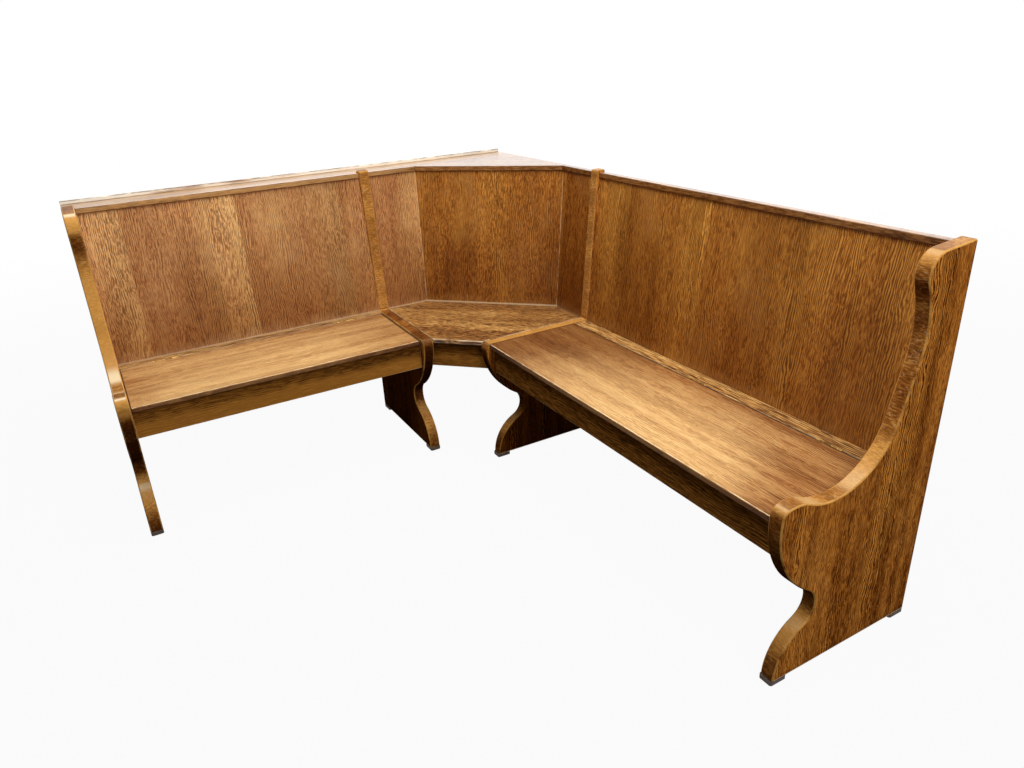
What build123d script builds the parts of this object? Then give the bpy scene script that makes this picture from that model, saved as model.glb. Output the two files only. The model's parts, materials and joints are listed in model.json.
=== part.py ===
from build123d import *
import math
import os

# Corner bench of dark oak: a left bench along one wall, a right bench along the other
# and a corner unit hung between them. Millimetres, +Z up.
#
# Each bench is drawn in its own directions first: s runs along the wall away from the
# corner, u runs forward from the wall and v runs up from the floor.

# Overall sizes
RIGHT_RUN = 1962.0
LEFT_RUN = 1645.0
CORNER_RUN = 623.0
END_HEIGHT = 981.0
SEAT_HEIGHT = 450.0
SEAT_FRONT = 485.0

# Ends: head, neck, arm, nose, belly, cove and toe are arcs that run into each other
END_THICKNESS = 38.0
END_EDGE_CHAMFER = 3.0
HEAD_RADIUS = 50.7
HEAD_CENTRE = (90.5, -58.0)
NECK_RADIUS = 267.0
FALL_ANGLE = 16.1
ARM_RADIUS = 187.4
ARM_ANGLE = 114.75
CROWN_RADIUS = 95.5
CROWN_ANGLE = 76.4
NOSE_RADIUS = 25.0
NOSE_CENTRE = (-11.6, 13.6)
NOSE_ANGLE = 6.3
BELLY_RADIUS = 235.0
BELLY_ANGLE = -59.6
COVE_RADIUS = 55.0
COVE_ANGLE = 243.7
TOE_RADIUS = 148.6
INNER_NOSE_RADIUS = 22.0
UPRIGHT_FOOT = 80.0
UPRIGHT_HEAD = 30.0
UPRIGHT_CORNER_ROUND = 8.0
UPRIGHT_FOOT_ROUND = 6.0

# Feet
FOOT_HEIGHT = 13.0
FOOT_LENGTH = 48.0
FOOT_PROUD = 5.0
FOOT_CHAMFER = 4.0

# Leaning back and its cap
BACK_FOOT = 77.0
BACK_HEAD = 17.0
PANEL_THICKNESS = 15.0
CAP_DEPTH = 24.0
CAP_HEIGHT = 18.0
CAP_DROP = 8.0
CAP_ROUND = 2.5

# Ledge with a low lip behind the left back
LEDGE_DEPTH = 104.0
LIP_THICKNESS = 12.0
LIP_HEIGHT = 12.0
LIP_ROUND = 3.0
BRACKET_DEPTH = 80.0
BRACKET_HEIGHT = 90.0
BRACKET_TOE = 12.0

# Seat
SEAT_THICKNESS = 16.0
STRIP_REAR = 79.0
LEFT_STRIP_FRONT = 113.0
RIGHT_STRIP_FRONT = 129.0
LID_END_GAP = 3.0
LID_REST_GAP = 0.3
LID_EDGE_ROUND = 4.0
APRON_SETBACK = 20.0
APRON_THICKNESS = 18.0
APRON_HEIGHT = 94.0
APRON_EDGE_ROUND = 2.0
RAIL_REAR = 62.0
RAIL_THICKNESS = 30.0
BOX_FLOOR_THICKNESS = 9.0
BOX_FLOOR_RISE = 6.0
CLEAT_WIDTH = 18.0
CLEAT_HEIGHT = 40.0
BATTEN_WIDTH = 45.0
BATTEN_THICKNESS = 18.0
BATTEN_INSET = 200.0
BATTEN_REAR_GAP = 16.0
BATTEN_FRONT_GAP = 7.0

# Butt hinges at the rear of each lid, let into the strip and the lid
HINGE_GAP = 3.0
HINGE_LENGTH = 76.0
HINGE_END_INSET = 110.0
LEFT_HINGES = 2
RIGHT_HINGES = 3
KNUCKLE_COUNT = 3
KNUCKLE_RADIUS = 2.5
KNUCKLE_GAP = 0.3
KNUCKLE_RECESS = 0.4
PIN_RADIUS = 1.2
PIN_CLEARANCE = 0.05
LEAF_THICKNESS = 1.0
LEAF_DROP = 13.0

# Corner unit
CORNER_RETURN = 167.0
CORNER_FRONT = 492.0
CORNER_SEAT_GAP = 1.0
CORNER_CLEAT_WIDTH = 20.0
CORNER_CLEAT_END_GAP = 4.0

# Bolts that join the corner unit to the benches
BOLT_RADIUS = 4.0
BOLT_HOLE_CLEARANCE = 0.2
BOLT_HEAD_RADIUS = 7.0
BOLT_HEAD_HEIGHT = 5.0
BOLT_TAIL = 2.0
NUT_WIDTH = 13.0
NUT_HEIGHT = 6.5
BOLT_PLACES = (190.0, 370.0)

# Worked out from the sizes above
SEAT_BOTTOM = SEAT_HEIGHT - SEAT_THICKNESS
REST_TOP = SEAT_BOTTOM - LID_REST_GAP
APRON_FRONT = SEAT_FRONT - APRON_SETBACK
APRON_REAR = APRON_FRONT - APRON_THICKNESS
APRON_BOTTOM = SEAT_BOTTOM - APRON_HEIGHT
RAIL_FRONT = RAIL_REAR + RAIL_THICKNESS
HINGE_V = SEAT_HEIGHT
CAP_TOP = END_HEIGHT - CAP_DROP
CAP_BOTTOM = CAP_TOP - CAP_HEIGHT
BACK_LEAN = (BACK_FOOT - BACK_HEAD) / (CAP_BOTTOM - SEAT_HEIGHT)
PANEL_DEPTH = PANEL_THICKNESS * math.hypot(1.0, BACK_LEAN)
INSIDE_START = CORNER_RUN + END_THICKNESS
CLEAT_MIDDLE = REST_TOP - CLEAT_HEIGHT / 2
MITRE = math.radians(22.5)
CENTRE_SHIFT = (CORNER_RUN - CORNER_RETURN - BACK_FOOT * math.tan(MITRE)) / math.sqrt(2)
ALONG = (1, 0, 0)
LEFT_TURN = Rot(0, 0, -90)
CENTRE_TURN = Rot(0, 0, 45)
ORIGIN_SHIFT = Pos((LEDGE_DEPTH - RIGHT_RUN) / 2, LEFT_RUN / 2, 0)


def board(s, u, v):
    """A straight board between two places along the wall, two depths and two heights."""
    size = Box(s[1] - s[0], u[1] - u[0], v[1] - v[0], align=(Align.MIN, Align.MIN, Align.MIN))
    return Pos(s[0], u[0], v[0]) * size


def along_wall(outline, start, length):
    """A profile in u and v, carried along the wall."""
    return extrude(Plane.YZ.offset(start) * outline, amount=length, dir=ALONG)


def back_face(height):
    """How far the face of the leaning back stands from the wall at a height."""
    return BACK_FOOT - (height - SEAT_HEIGHT) * BACK_LEAN


def step_from(centre, distance, angle):
    """The point at a distance and an angle in degrees from a centre, in u and v."""
    turn = math.radians(angle)
    return (centre[0] + distance * math.cos(turn), centre[1] + distance * math.sin(turn))


def angle_of(centre, point):
    """The angle in degrees from a centre to a point."""
    return math.degrees(math.atan2(point[1] - centre[1], point[0] - centre[0]))


def arc(centre, radius, start, finish):
    """An arc about a centre between two angles in degrees."""
    return CenterArc(centre, radius, start, finish - start)


def nose_centre():
    return (SEAT_FRONT + NOSE_CENTRE[0], SEAT_HEIGHT + NOSE_CENTRE[1])


def belly_centre():
    """The belly takes the nose inside it and touches it at the nose angle."""
    return step_from(nose_centre(), NOSE_RADIUS - BELLY_RADIUS, NOSE_ANGLE)


def toe_centre():
    """The cove touches the belly, and the toe touches the cove."""
    cove = step_from(belly_centre(), BELLY_RADIUS + COVE_RADIUS, BELLY_ANGLE)
    return step_from(cove, COVE_RADIUS + TOE_RADIUS, COVE_ANGLE)


def toe_reach():
    """How far from the wall the toe meets the sole."""
    centre = toe_centre()
    return centre[0] + math.sqrt(TOE_RADIUS**2 - (FOOT_HEIGHT - centre[1]) ** 2)


def leg_lines(belly_start):
    """Front of an end from the top of the belly down to the toe, and the sole."""
    belly = belly_centre()
    cove = step_from(belly, BELLY_RADIUS + COVE_RADIUS, BELLY_ANGLE)
    toe = toe_centre()
    sole_front = (toe_reach(), FOOT_HEIGHT)
    lines = arc(belly, BELLY_RADIUS, belly_start, BELLY_ANGLE)
    lines += arc(cove, COVE_RADIUS, BELLY_ANGLE + 180, COVE_ANGLE)
    lines += arc(toe, TOE_RADIUS, COVE_ANGLE - 180, angle_of(toe, sole_front))
    return lines + Line(sole_front, (0, FOOT_HEIGHT))


def outer_end_outline():
    """Side of an outer end: head, neck, swept arm, nose, belly, cove and toe."""
    rear_top = (0, END_HEIGHT)
    head = (HEAD_CENTRE[0], END_HEIGHT + HEAD_CENTRE[1])
    rise = math.degrees(math.asin(HEAD_RADIUS / math.dist(rear_top, head)))
    head_start = angle_of(rear_top, head) + rise + 90
    nose = nose_centre()
    crown = step_from(nose, NOSE_RADIUS - CROWN_RADIUS, CROWN_ANGLE)
    arm = step_from(crown, CROWN_RADIUS + ARM_RADIUS, ARM_ANGLE)

    # The straight fall touches the arm; the neck touches both the fall and the head
    fall = 180 + FALL_ANGLE
    arm_touch = step_from(arm, ARM_RADIUS, fall)
    lean = math.radians(FALL_ANGLE)
    beyond = (head[0] - arm_touch[0], head[1] - arm_touch[1])
    side = beyond[0] * math.cos(lean) + beyond[1] * math.sin(lean)
    climb = beyond[1] * math.cos(lean) - beyond[0] * math.sin(lean)
    reach = HEAD_RADIUS + NECK_RADIUS
    climb -= math.sqrt(reach**2 - (NECK_RADIUS - side) ** 2)
    neck_touch = step_from(arm_touch, climb, FALL_ANGLE + 90)
    neck = step_from(neck_touch, NECK_RADIUS, FALL_ANGLE)
    head_finish = angle_of(head, neck)

    lines = Line((0, FOOT_HEIGHT), rear_top)
    lines += Line(rear_top, step_from(head, HEAD_RADIUS, head_start))
    lines += arc(head, HEAD_RADIUS, head_start, head_finish)
    lines += arc(neck, NECK_RADIUS, head_finish + 180, fall)
    lines += Line(neck_touch, arm_touch)
    lines += arc(arm, ARM_RADIUS, fall, ARM_ANGLE + 180)
    lines += arc(crown, CROWN_RADIUS, ARM_ANGLE, CROWN_ANGLE)
    lines += arc(nose, NOSE_RADIUS, CROWN_ANGLE, NOSE_ANGLE)
    return make_face(lines + leg_lines(NOSE_ANGLE))


def inner_end_outline():
    """Side of an inner end: a leaning upright, a flush seat edge, and the same leg."""
    rear_top = (0, END_HEIGHT)
    upright_top = (UPRIGHT_HEAD, END_HEIGHT)
    upright_foot = (UPRIGHT_FOOT, SEAT_HEIGHT)

    # The small nose touches the flush seat edge and the belly
    belly = belly_centre()
    nose_v = SEAT_HEIGHT - INNER_NOSE_RADIUS
    inset = BELLY_RADIUS - INNER_NOSE_RADIUS
    nose = (belly[0] + math.sqrt(inset**2 - (nose_v - belly[1]) ** 2), nose_v)
    nose_finish = angle_of(belly, nose)

    lines = Line((0, FOOT_HEIGHT), rear_top)
    lines += Line(rear_top, upright_top)
    lines += Line(upright_top, upright_foot)
    lines += Line(upright_foot, (nose[0], SEAT_HEIGHT))
    lines += arc(nose, INNER_NOSE_RADIUS, 90, nose_finish)
    outline = make_face(lines + leg_lines(nose_finish))
    for place, radius in ((upright_top, UPRIGHT_CORNER_ROUND), (upright_foot, UPRIGHT_FOOT_ROUND)):
        corner_point = outline.vertices().sort_by_distance(place)[0]
        outline = fillet(corner_point, radius)
    return outline


def ease_edges(piece):
    """Takes the sharpness off an end, except along the wall and along the sole."""
    sides = piece.faces().filter_by(Axis.X).edges()
    kept = [e for e in sides if e.center().Y > 1.0 and e.center().Z > FOOT_HEIGHT + 1.0]
    return chamfer(kept, END_EDGE_CHAMFER)


def bolt_holes(start, length):
    """Cutters for the joining bolts, through a piece that starts at a place along the wall."""
    radius = BOLT_RADIUS + BOLT_HOLE_CLEARANCE
    drill = Rot(0, 90, 0) * Cylinder(radius, length, align=(Align.CENTER, Align.CENTER, Align.MIN))
    return [Pos(start, u, CLEAT_MIDDLE) * drill for u in BOLT_PLACES]


def outer_end(run):
    return ease_edges(along_wall(outer_end_outline(), run - END_THICKNESS, END_THICKNESS))


def inner_end():
    piece = ease_edges(along_wall(inner_end_outline(), CORNER_RUN, END_THICKNESS))
    return piece - bolt_holes(CORNER_RUN, END_THICKNESS)


def feet(run):
    """Four pads: one at the toe and one at the heel of each end."""
    pads = []
    toe_front = toe_reach() + FOOT_PROUD
    toe_pad = (toe_front - FOOT_LENGTH, toe_front)
    heel_pad = (0.0, FOOT_LENGTH)
    for start in (CORNER_RUN, run - END_THICKNESS):
        for reach in (toe_pad, heel_pad):
            pad = board((start, start + END_THICKNESS), reach, (0.0, FOOT_HEIGHT))
            corners = pad.edges().filter_by(Axis.Z).sort_by(Axis.Y)[2:]
            pads.append(chamfer(corners, FOOT_CHAMFER))
    return Compound(children=pads)


def panel_outline(shift=0.0):
    """Side of a leaning back panel, from the rail up to the cap."""
    foot = back_face(SEAT_BOTTOM) + shift
    head = back_face(CAP_BOTTOM) + shift
    points = [(foot - PANEL_DEPTH, SEAT_BOTTOM), (foot, SEAT_BOTTOM)]
    points += [(head, CAP_BOTTOM), (head - PANEL_DEPTH, CAP_BOTTOM)]
    return make_face(Polyline(*points, close=True))


def rail_outline(shift=0.0):
    """Side of the rail under a back panel."""
    rail = Rectangle(RAIL_THICKNESS, APRON_HEIGHT, align=(Align.MIN, Align.MIN))
    return Pos(RAIL_REAR + shift, APRON_BOTTOM) * rail


def cap_outline():
    """Side of the cap, with its front edges softened."""
    face = Pos(0, CAP_BOTTOM) * Rectangle(CAP_DEPTH, CAP_HEIGHT, align=(Align.MIN, Align.MIN))
    return fillet(face.vertices().group_by(Axis.X)[-1], CAP_ROUND)


def lid(run, strip_front, places):
    """Seat board that lifts: rounded along the front, square at the hinge."""
    piece = board(
        (INSIDE_START + LID_END_GAP, run - END_THICKNESS - LID_END_GAP),
        (strip_front + HINGE_GAP, SEAT_FRONT),
        (SEAT_BOTTOM, SEAT_HEIGHT),
    )
    front = piece.edges().filter_by(Axis.X).group_by(Axis.Y)[-1]
    return fillet(front, LID_EDGE_ROUND) - hinge_recesses(strip_front, places)


def seat_strip(run, strip_front, places):
    """Narrow fixed board between the back panel and the lid, let in for the hinges."""
    inside = (INSIDE_START, run - END_THICKNESS)
    piece = board(inside, (STRIP_REAR, strip_front), (SEAT_BOTTOM, SEAT_HEIGHT))
    return piece - hinge_recesses(strip_front, places)


def apron(run):
    piece = board(
        (INSIDE_START, run - END_THICKNESS),
        (APRON_REAR, APRON_FRONT),
        (APRON_BOTTOM, REST_TOP),
    )
    lower_front = piece.edges().filter_by(Axis.X).group_by(Axis.Y)[-1].sort_by(Axis.Z)[0]
    return fillet(lower_front, APRON_EDGE_ROUND)


def lid_cleats(run):
    """Two bearers on the ends; the one on the inner end is drilled for the bolts."""
    reach = (RAIL_FRONT, APRON_REAR)
    height = (REST_TOP - CLEAT_HEIGHT, REST_TOP)
    inner = board((INSIDE_START, INSIDE_START + CLEAT_WIDTH), reach, height)
    inner = inner - bolt_holes(INSIDE_START, CLEAT_WIDTH)
    outer = board((run - END_THICKNESS - CLEAT_WIDTH, run - END_THICKNESS), reach, height)
    return Compound(children=[inner, outer])


def lid_battens(run, strip_front):
    """Two cross battens under the lid, clear of the rail and the apron."""
    reach = (strip_front + HINGE_GAP + BATTEN_REAR_GAP, APRON_REAR - BATTEN_FRONT_GAP)
    height = (SEAT_BOTTOM - BATTEN_THICKNESS, SEAT_BOTTOM)
    first = INSIDE_START + BATTEN_INSET
    last = run - END_THICKNESS - BATTEN_INSET - BATTEN_WIDTH
    return Compound(children=[board((s, s + BATTEN_WIDTH), reach, height) for s in (first, last)])


def hinge_places(run, count):
    """Where each butt hinge starts along the wall, evenly spaced between the two outermost."""
    first = INSIDE_START + HINGE_END_INSET
    last = run - END_THICKNESS - HINGE_END_INSET - HINGE_LENGTH
    return [first + (last - first) * place / (count - 1) for place in range(count)]


def hinge_centre(strip_front):
    """Centre of the hinge pins, midway between the strip and the lid at seat height."""
    return Pos(strip_front + HINGE_GAP / 2, HINGE_V)


def hinge_recesses(strip_front, places):
    """Grooves that let the knuckles into the edges of the strip and the lid."""
    groove = hinge_centre(strip_front) * Circle(KNUCKLE_RADIUS + KNUCKLE_RECESS)
    length = HINGE_LENGTH + 2 * KNUCKLE_RECESS
    return [along_wall(groove, place - KNUCKLE_RECESS, length) for place in places]


def hinge_leaf(start, reach, first, centre):
    """One leaf with every second knuckle, from the first one given."""
    pitch = HINGE_LENGTH / KNUCKLE_COUNT
    leaf_top = HINGE_V - KNUCKLE_RADIUS - KNUCKLE_RECESS
    leaf = board((start, start + HINGE_LENGTH), reach, (SEAT_HEIGHT - LEAF_DROP, leaf_top))
    wrap = Rectangle(LEAF_THICKNESS, HINGE_V - leaf_top, align=(Align.MIN, Align.MIN))
    section = centre * Circle(KNUCKLE_RADIUS) + Pos(reach[0], leaf_top) * wrap
    section = section - centre * Circle(PIN_RADIUS + PIN_CLEARANCE)
    for place in range(first, KNUCKLE_COUNT, 2):
        knuckle_start = start + place * pitch + KNUCKLE_GAP / 2
        leaf = leaf + along_wall(section, knuckle_start, pitch - KNUCKLE_GAP)
    return leaf


def hinges(strip_front, places):
    """Leaves on the strip, leaves on the lid, and the pins, for every hinge of a lid."""
    lid_rear = strip_front + HINGE_GAP
    strip_reach = (strip_front, strip_front + LEAF_THICKNESS)
    lid_reach = (lid_rear - LEAF_THICKNESS, lid_rear)
    centre = hinge_centre(strip_front)
    pin = centre * Circle(PIN_RADIUS)
    strip_leaves = [hinge_leaf(place, strip_reach, 0, centre) for place in places]
    lid_leaves = [hinge_leaf(place, lid_reach, 1, centre) for place in places]
    pins = [along_wall(pin, place, HINGE_LENGTH) for place in places]
    return Compound(children=strip_leaves), Compound(children=lid_leaves), Compound(children=pins)


def bench(run, strip_front, hinge_count):
    """Every piece of one bench, by name, in its own directions."""
    inside = (INSIDE_START, run - END_THICKNESS)
    length = inside[1] - inside[0]
    places = hinge_places(run, hinge_count)
    strip_leaves, lid_leaves, pins = hinges(strip_front, places)
    floor_bottom = APRON_BOTTOM + BOX_FLOOR_RISE
    return {
        "outer_end": outer_end(run),
        "inner_end": inner_end(),
        "feet": feet(run),
        "back_panel": along_wall(panel_outline(), inside[0], length),
        "cap": along_wall(cap_outline(), inside[0], length),
        "seat_strip": seat_strip(run, strip_front, places),
        "rear_rail": along_wall(rail_outline(), inside[0], length),
        "apron": apron(run),
        "box_floor": board(
            inside, (RAIL_FRONT, APRON_REAR), (floor_bottom, floor_bottom + BOX_FLOOR_THICKNESS)
        ),
        "lid_cleats": lid_cleats(run),
        "lid": lid(run, strip_front, places),
        "lid_battens": lid_battens(run, strip_front),
        "hinge_strip_leaves": strip_leaves,
        "hinge_lid_leaves": lid_leaves,
        "hinge_pins": pins,
    }


def on_left(piece):
    """Turns a piece from bench directions to the left wall."""
    return LEFT_TURN * piece


def on_right(piece):
    """Turns a piece from bench directions to the right wall."""
    return mirror(piece, about=Plane.XZ)


def on_centre(piece):
    """Turns a piece to the diagonal of the corner, with u forward from the corner."""
    return CENTRE_TURN * mirror(piece, about=Plane.XZ)


def mitre_plane(side):
    """Upright plane of the joint between a return and the centre of the corner."""
    joint = CORNER_RUN - CORNER_RETURN
    if side == "left":
        return Plane(
            origin=(BACK_FOOT, -joint, 0), x_dir=(0, 0, 1), z_dir=(math.sin(MITRE), math.cos(MITRE), 0)
        )
    return Plane(
        origin=(joint, -BACK_FOOT, 0), x_dir=(0, 0, 1), z_dir=(-math.cos(MITRE), -math.sin(MITRE), 0)
    )


def round_the_corner(outline, centre_outline):
    """A profile carried along the left return, the centre and the right return, mitred."""
    straight = along_wall(outline, 0, CORNER_RUN)
    diagonal = along_wall(centre_outline, -CORNER_RUN, 2 * CORNER_RUN)
    left = split(on_left(straight), bisect_by=mitre_plane("left"), keep=Keep.BOTTOM)
    right = split(on_right(straight), bisect_by=mitre_plane("right"), keep=Keep.BOTTOM)
    centre = split(on_centre(diagonal), bisect_by=mitre_plane("left"), keep=Keep.TOP)
    centre = split(centre, bisect_by=mitre_plane("right"), keep=Keep.TOP)
    return left, centre, right


def plan_board(points, bottom, top):
    """A flat board cut to a plan outline."""
    return Pos(0, 0, bottom) * extrude(make_face(Polyline(*points, close=True)), amount=top - bottom)


def return_joint(depth):
    """Place along the wall where a return meets the centre, at a depth from the wall."""
    return CORNER_RUN - CORNER_RETURN - (BACK_FOOT - depth) * math.tan(MITRE)


def corner_seat():
    """Six-sided seat board between the two inner ends."""
    edge = CORNER_RUN - CORNER_SEAT_GAP
    front = CORNER_FRONT + CORNER_SEAT_GAP
    joint = return_joint(STRIP_REAR)
    points = [(STRIP_REAR, -edge), (front, -edge), (edge, -front)]
    points += [(edge, -STRIP_REAR), (joint, -STRIP_REAR), (STRIP_REAR, -joint)]
    piece = plan_board(points, SEAT_BOTTOM, SEAT_HEIGHT)
    front_face = piece.faces().sort_by(Axis((0, 0, 0), (1, -1, 0)))[-1]
    long_edges = [e for e in front_face.edges() if abs(e.tangent_at(0).Z) < 0.5]
    return fillet(long_edges, LID_EDGE_ROUND)


def corner_apron():
    """Front board of the corner, cut at an angle where it meets the inner ends."""
    face = CORNER_FRONT - APRON_SETBACK * math.sqrt(2)
    rear = face - APRON_THICKNESS * math.sqrt(2)
    points = [(face, -CORNER_RUN), (CORNER_RUN, -face), (CORNER_RUN, -rear), (rear, -CORNER_RUN)]
    piece = plan_board(points, APRON_BOTTOM, SEAT_BOTTOM)
    front_face = piece.faces().sort_by(Axis((0, 0, 0), (1, -1, 0)))[-1]
    return fillet(front_face.edges().sort_by(Axis.Z)[0], APRON_EDGE_ROUND)


def corner_top():
    """Board over the corner, from the centre cap edge back to the walls."""
    front = return_joint(CAP_DEPTH)
    rear = return_joint(0.0)
    points = [(0, 0), (0, -rear), (CAP_DEPTH, -front), (front, -CAP_DEPTH), (rear, 0)]
    piece = plan_board(points, CAP_BOTTOM, CAP_TOP)
    front_face = piece.faces().sort_by(Axis((0, 0, 0), (1, -1, 0)))[-1]
    long_edges = [e for e in front_face.edges() if abs(e.tangent_at(0).Z) < 0.5]
    return fillet(long_edges, CAP_ROUND)


def corner_cleat():
    """Bearer for the corner seat on an inner end, drilled for the bolts."""
    apron_rear = CORNER_FRONT - (APRON_SETBACK + APRON_THICKNESS) * math.sqrt(2)
    start = CORNER_RUN - CORNER_CLEAT_WIDTH
    piece = board(
        (start, CORNER_RUN),
        (RAIL_FRONT, apron_rear - CORNER_CLEAT_END_GAP),
        (SEAT_BOTTOM - CLEAT_HEIGHT, SEAT_BOTTOM),
    )
    return piece - bolt_holes(start, CORNER_CLEAT_WIDTH)


def joining_bolts():
    """Bolts through the corner cleat, the inner end and the lid cleat, with their nuts."""
    start = CORNER_RUN - CORNER_CLEAT_WIDTH
    grip = CORNER_CLEAT_WIDTH + END_THICKNESS + CLEAT_WIDTH
    nut_start = start + grip
    shank_length = grip + NUT_HEIGHT + BOLT_TAIL
    pieces = []
    for u in BOLT_PLACES:
        centre = Pos(u, CLEAT_MIDDLE)
        head = along_wall(centre * Circle(BOLT_HEAD_RADIUS), start - BOLT_HEAD_HEIGHT, BOLT_HEAD_HEIGHT)
        shank = along_wall(centre * Circle(BOLT_RADIUS), start, shank_length)
        ring = RegularPolygon(NUT_WIDTH / 2, 6, major_radius=False) - Circle(BOLT_RADIUS)
        pieces.append(head + shank)
        pieces.append(along_wall(centre * ring, nut_start, NUT_HEIGHT))
    return Compound(children=pieces)


def ledge():
    """Board behind the left back, its lip, and brackets on the rear edges of the ends."""
    run = (0.0, LEFT_RUN)
    shelf = board(run, (-LEDGE_DEPTH, 0.0), (CAP_BOTTOM, CAP_TOP))
    lip = board(run, (-LEDGE_DEPTH, LIP_THICKNESS - LEDGE_DEPTH), (CAP_TOP, CAP_TOP + LIP_HEIGHT))
    upper = lip.edges().filter_by(Axis.X).group_by(Axis.Z)[-1]
    lip = fillet(upper, LIP_ROUND)
    points = [(0, CAP_BOTTOM), (-BRACKET_DEPTH, CAP_BOTTOM), (-BRACKET_DEPTH, CAP_BOTTOM - BRACKET_TOE)]
    points += [(-BRACKET_TOE, CAP_BOTTOM - BRACKET_HEIGHT), (0, CAP_BOTTOM - BRACKET_HEIGHT)]
    side = make_face(Polyline(*points, close=True))
    places = (CORNER_RUN, LEFT_RUN - END_THICKNESS)
    brackets = Compound(children=[along_wall(side, place, END_THICKNESS) for place in places])
    return {"left_ledge": shelf, "left_ledge_lip": lip, "left_ledge_brackets": brackets}


def corner():
    """Every piece of the corner unit, by name, in place."""
    panels = round_the_corner(panel_outline(), panel_outline(CENTRE_SHIFT))
    rails = round_the_corner(rail_outline(), rail_outline(CENTRE_SHIFT))
    caps = round_the_corner(cap_outline(), Pos(CENTRE_SHIFT, 0) * cap_outline())
    return {
        "corner_seat": corner_seat(),
        "corner_apron": corner_apron(),
        "corner_back_left": panels[0],
        "corner_back_centre": panels[1],
        "corner_back_right": panels[2],
        "corner_rail_left": rails[0],
        "corner_rail_centre": rails[1],
        "corner_rail_right": rails[2],
        "corner_cap_left": caps[0],
        "corner_cap_right": caps[2],
        "corner_top": corner_top(),
        "corner_cleat_left": on_left(corner_cleat()),
        "corner_cleat_right": on_right(corner_cleat()),
        "joining_bolts_left": on_left(joining_bolts()),
        "joining_bolts_right": on_right(joining_bolts()),
    }


def all_pieces():
    pieces = {}
    for name, piece in bench(LEFT_RUN, LEFT_STRIP_FRONT, LEFT_HINGES).items():
        pieces["left_" + name] = on_left(piece)
    for name, piece in bench(RIGHT_RUN, RIGHT_STRIP_FRONT, RIGHT_HINGES).items():
        pieces["right_" + name] = on_right(piece)
    for name, piece in ledge().items():
        pieces[name] = on_left(piece)
    pieces.update(corner())
    return pieces


os.makedirs("parts", exist_ok=True)
for node, piece in all_pieces().items():
    export_step(ORIGIN_SHIFT * piece, f"parts/{node}.step")
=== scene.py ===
import json
import math

import bmesh
import bpy
from bpy.props import FloatProperty, FloatVectorProperty, PointerProperty
from mathutils import Matrix, Vector


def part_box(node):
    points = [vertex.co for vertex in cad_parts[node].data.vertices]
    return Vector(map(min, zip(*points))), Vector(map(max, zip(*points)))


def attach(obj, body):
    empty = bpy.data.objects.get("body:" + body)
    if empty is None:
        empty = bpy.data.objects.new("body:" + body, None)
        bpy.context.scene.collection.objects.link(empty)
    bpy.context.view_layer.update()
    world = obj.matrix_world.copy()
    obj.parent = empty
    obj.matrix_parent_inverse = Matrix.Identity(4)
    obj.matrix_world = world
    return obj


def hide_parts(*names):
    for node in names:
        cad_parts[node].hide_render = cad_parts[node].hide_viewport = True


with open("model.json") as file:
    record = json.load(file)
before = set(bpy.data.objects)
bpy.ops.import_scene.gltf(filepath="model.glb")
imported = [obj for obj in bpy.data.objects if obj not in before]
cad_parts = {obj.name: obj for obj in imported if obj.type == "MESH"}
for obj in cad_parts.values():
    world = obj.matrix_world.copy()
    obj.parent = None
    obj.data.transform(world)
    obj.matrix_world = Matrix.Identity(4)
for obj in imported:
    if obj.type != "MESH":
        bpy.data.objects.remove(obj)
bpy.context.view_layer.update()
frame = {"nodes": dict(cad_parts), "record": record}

# Oak corner bench: a left and a right bench with lifting seats, and a corner unit between them

bl_info = {
    "name": "Oak Corner Bench",
    "version": (1, 0, 0),
    "blender": (4, 5, 0),
    "location": "3D View > Sidebar > Bench",
    "description": "Dresses the pieces of a dark oak corner bench and sets up its stage",
    "category": "Object",
}

# Directions of the grain, in the frame of the bench
UP = Vector((0.0, 0.0, 1.0))
RUN_X = Vector((1.0, 0.0, 0.0))
RUN_Y = Vector((0.0, 1.0, 0.0))
FRONT_LINE = Vector((1.0, 1.0, 0.0)).normalized()
OUT_OF_CORNER = Vector((1.0, -1.0, 0.0)).normalized()

# Heights that the finishes follow
SEAT_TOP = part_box("corner_seat")[1].z
APRON_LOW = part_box("left_apron")[0].z
APRON_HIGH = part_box("left_apron")[1].z
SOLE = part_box("left_outer_end")[0].z

# Attributes of the corners of a piece, for the wear and for the painted light and shade that follow how a
# face turns
ARRIS = "arris"
UPWARD = "upward"


# Settings that a user would change


def shade(name, description, red, green, blue):
    """A colour setting, written as it looks on screen in 0 to 255."""
    linear = []
    for level in (red, green, blue):
        part = level / 255
        linear.append(part / 12.92 if part <= 0.04045 else ((part + 0.055) / 1.055) ** 2.4)
    return FloatVectorProperty(
        name=name, description=description, subtype="COLOR", size=3, min=0.0, max=1.0, default=linear
    )


def length(name, description, default):
    return FloatProperty(
        name=name, description=description, default=default, min=0.0, precision=4, unit="LENGTH"
    )


def share(name, description, default):
    return FloatProperty(
        name=name, description=description, default=default, min=0.0, max=1.0, subtype="FACTOR"
    )


def angle(name, description, degrees):
    return FloatProperty(name=name, description=description, subtype="ANGLE", default=math.radians(degrees))


def power(name, description, watts):
    return FloatProperty(name=name, description=description, unit="POWER", default=watts)


def oak_shades(name, use, dark, middle, light, fleck):
    """A settings group with the four shades of one kind of board."""
    shades = {
        "dark": shade("Dark", "Stained lines and pores", *dark),
        "middle": shade("Middle", "Body of the wood", *middle),
        "light": shade("Light", "Open, golden grain", *light),
        "fleck": shade("Fleck", "Rays and flecks", *fleck),
    }
    return type(name, (bpy.types.PropertyGroup,), {"__doc__": use, "__annotations__": shades})


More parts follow.
